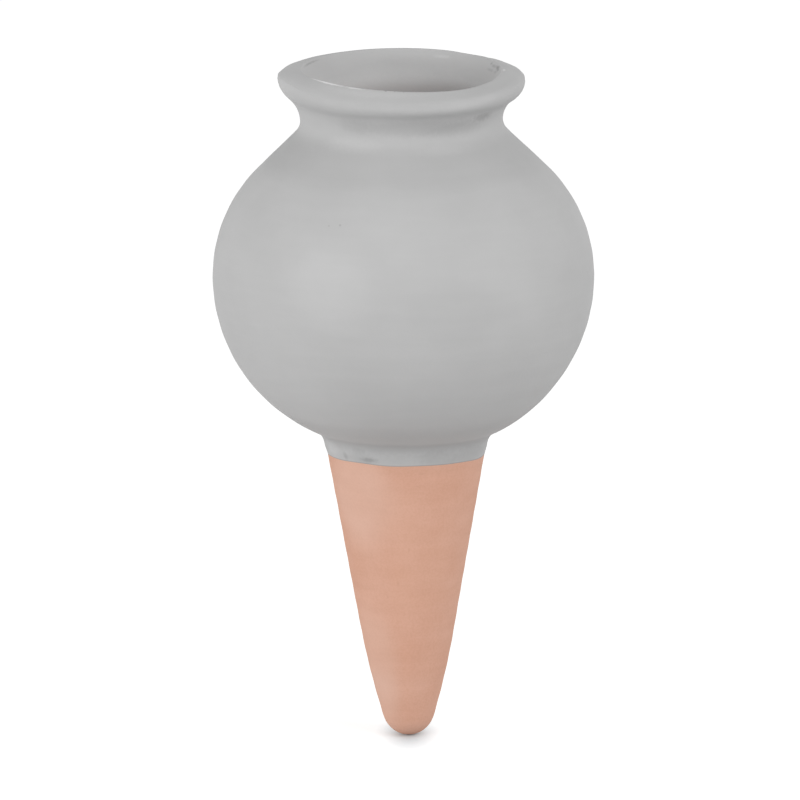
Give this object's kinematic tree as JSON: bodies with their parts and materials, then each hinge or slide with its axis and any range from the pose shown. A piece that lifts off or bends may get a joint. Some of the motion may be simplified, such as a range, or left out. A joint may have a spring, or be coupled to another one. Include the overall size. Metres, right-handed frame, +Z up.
{
  "type": "self-watering spike",
  "caption": "Clay water globe with a flared open mouth, luted onto a hollow porous clay spike that feeds water into a plant pot's soil; painted above the soil line.",
  "frame": {"origin": "on the axis at the soil line, where the paint film ends and the bare spike begins", "axes": "+Z up along the axis of the globe and spike, out of the mouth; X and Y are alike, because the part is round"},
  "size_m": [0.0643, 0.0642, 0.1148],
  "materials": {
    "terracotta": "bare fired clay, matt",
    "porous_terracotta": "bare porous fired clay, matt and slightly grainy",
    "clay_slip": "fired luting slip, wiped smooth",
    "grey_paint": "matt waterproof grey paint film with a faint sheen"
  },
  "bodies": {
    "root": {"globe": "terracotta", "spike": "porous_terracotta", "slip_seam": "clay_slip", "grey_coat": "grey_paint"}
  },
  "joints": []
}
